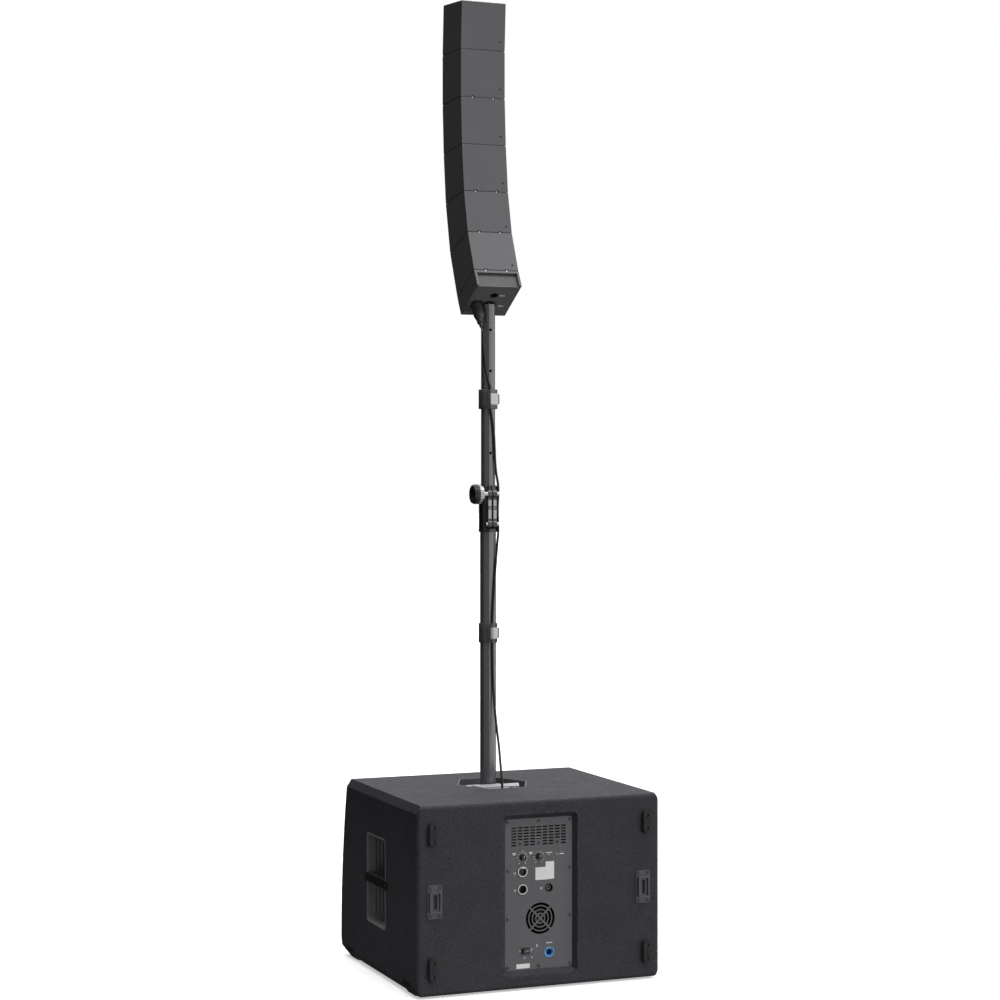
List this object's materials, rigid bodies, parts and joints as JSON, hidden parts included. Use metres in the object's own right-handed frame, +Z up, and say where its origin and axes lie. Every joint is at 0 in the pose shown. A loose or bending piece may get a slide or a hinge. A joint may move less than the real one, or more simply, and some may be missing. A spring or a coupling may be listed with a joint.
{
  "type": "column pa speaker system",
  "caption": "Powered bass cabinet with a clamped telescopic pole, a curved column of satellite speakers on an adapter and a speaker cable between them.",
  "frame": {"origin": "centre of the cabinet's footprint on the floor, feet and rear bumpers included", "axes": "+Z up along the pole, +Y towards the rear with the amplifier panel, +X to the left seen from the front"},
  "size_m": [0.627, 0.569, 2.4043],
  "materials": {
    "cabinet_paint": "fine textured black paint on plywood",
    "plywood": "bare plywood",
    "black_steel": "black powder coat",
    "ferrite": "pressed ferrite with steel plates",
    "cone_paper": "pressed paper cone with a rubber surround",
    "black_plastic": "moulded black plastic",
    "black_rubber": "black rubber",
    "dark_steel": "dark plated steel",
    "bright_steel": "bright zinc plate",
    "panel_paint": "fine textured black paint",
    "circuit_green": "green circuit board with parts",
    "bare_aluminium": "bare extrusion",
    "blue_plastic": "blue moulded plastic",
    "pole_finish": "satin black anodised tube",
    "collar_finish": "black coated casting",
    "knob_finish": "bright knurled skirt with a dark face",
    "strap_webbing": "woven hook and loop strap",
    "satellite_paint": "satin charcoal paint",
    "cable_rubber": "round black cable sheath"
  },
  "bodies": {
    "cabinet": {"cabinet_shell": "cabinet_paint", "baffle": "plywood", "cabinet_brace": "plywood", "front_grille": "black_steel", "woofer_basket": "black_steel", "woofer_magnet": "ferrite", "side_ports": "black_plastic", "side_handles": "black_steel", "rear_feet": "black_rubber", "bottom_feet": "black_plastic", "catch_plates": "dark_steel", "cabinet_screws": "dark_steel", "top_dish": "black_plastic", "pole_flange": "bright_steel", "dish_socket": "black_plastic", "amp_tray": "black_steel", "amp_panel": "panel_paint", "panel_screws": "bright_steel", "circuit_board": "circuit_green", "heat_sink": "bare_aluminium", "power_supply": "circuit_green", "fan_frame": "black_plastic", "xlr_input": "black_plastic", "xlr_output": "black_plastic", "speaker_output": "black_plastic", "power_inlet": "blue_plastic", "switch_bezel": "black_plastic", "lower_tube": "pole_finish", "lower_stud": "dark_steel", "clamp_collar": "collar_finish", "clamp_bolts": "dark_steel", "lower_strap": "strap_webbing", "lower_plug": "black_plastic", "speaker_cable": "cable_rubber"},
    "mast": {"upper_tube": "pole_finish", "upper_stud": "dark_steel", "upper_strap": "strap_webbing", "adapter_shell": "satellite_paint", "adapter_panel": "panel_paint", "adapter_screws": "bright_steel", "pole_bushes": "dark_steel", "adapter_socket": "black_plastic", "upper_plug": "black_plastic", "single_shell_1": "satellite_paint", "single_shell_2": "satellite_paint", "double_shell_1": "satellite_paint", "double_shell_2": "satellite_paint", "satellite_grilles": "black_steel", "satellite_baffles": "black_plastic", "midrange_frames": "black_steel", "midrange_cones": "cone_paper", "tweeter_bars": "black_plastic", "latch_hooks": "bright_steel"},
    "clamp_knob": {"clamp_knob": "knob_finish"},
    "woofer_cone": {"woofer_cone": "cone_paper"},
    "fan_rotor": {"fan_rotor": "black_plastic"},
    "level_knob": {"level_knob": "black_plastic"},
    "mode_knob": {"mode_knob": "black_plastic"},
    "xlr_latch": {"xlr_latch": "dark_steel"},
    "power_rocker": {"power_rocker": "black_plastic"}
  },
  "joints": [
    {"name": "mast_slide", "type": "slide", "parent": "cabinet", "child": "mast", "axis": [0, 0, 1], "range_m": [-0.18, 0], "deforming": ["speaker_cable"]},
    {"name": "clamp_knob_turn", "type": "hinge", "parent": "cabinet", "child": "clamp_knob", "pos_m": [0.04, -0.0335, 1.162], "axis": [1, 0, 0], "range_deg": [0, 360]},
    {"name": "woofer_cone_travel", "type": "slide", "parent": "cabinet", "child": "woofer_cone", "axis": [0, 1, 0], "range_m": [-0.008, 0.008], "stiffness_N_per_m": 6000},
    {"name": "fan_spin", "type": "hinge", "parent": "cabinet", "child": "fan_rotor", "pos_m": [-0.004, 0.2505, 0.164], "axis": [0, 1, 0], "continuous": true},
    {"name": "level_knob_turn", "type": "hinge", "parent": "cabinet", "child": "level_knob", "pos_m": [0.0418, 0.2685, 0.3105], "axis": [0, 1, 0], "range_deg": [-150, 150]},
    {"name": "mode_knob_turn", "type": "hinge", "parent": "cabinet", "child": "mode_knob", "pos_m": [0, 0.2685, 0.3105], "axis": [0, 1, 0], "range_deg": [-150, 150]},
    {"name": "xlr_latch_press", "type": "slide", "parent": "cabinet", "child": "xlr_latch", "axis": [0, -1, 0], "range_m": [0, 0.002], "stiffness_N_per_m": 400},
    {"name": "power_rocker_tilt", "type": "hinge", "parent": "cabinet", "child": "power_rocker", "pos_m": [0.034, 0.2585, 0.0895], "axis": [0, 0, 1], "range_deg": [-24, 0]}
  ]
}
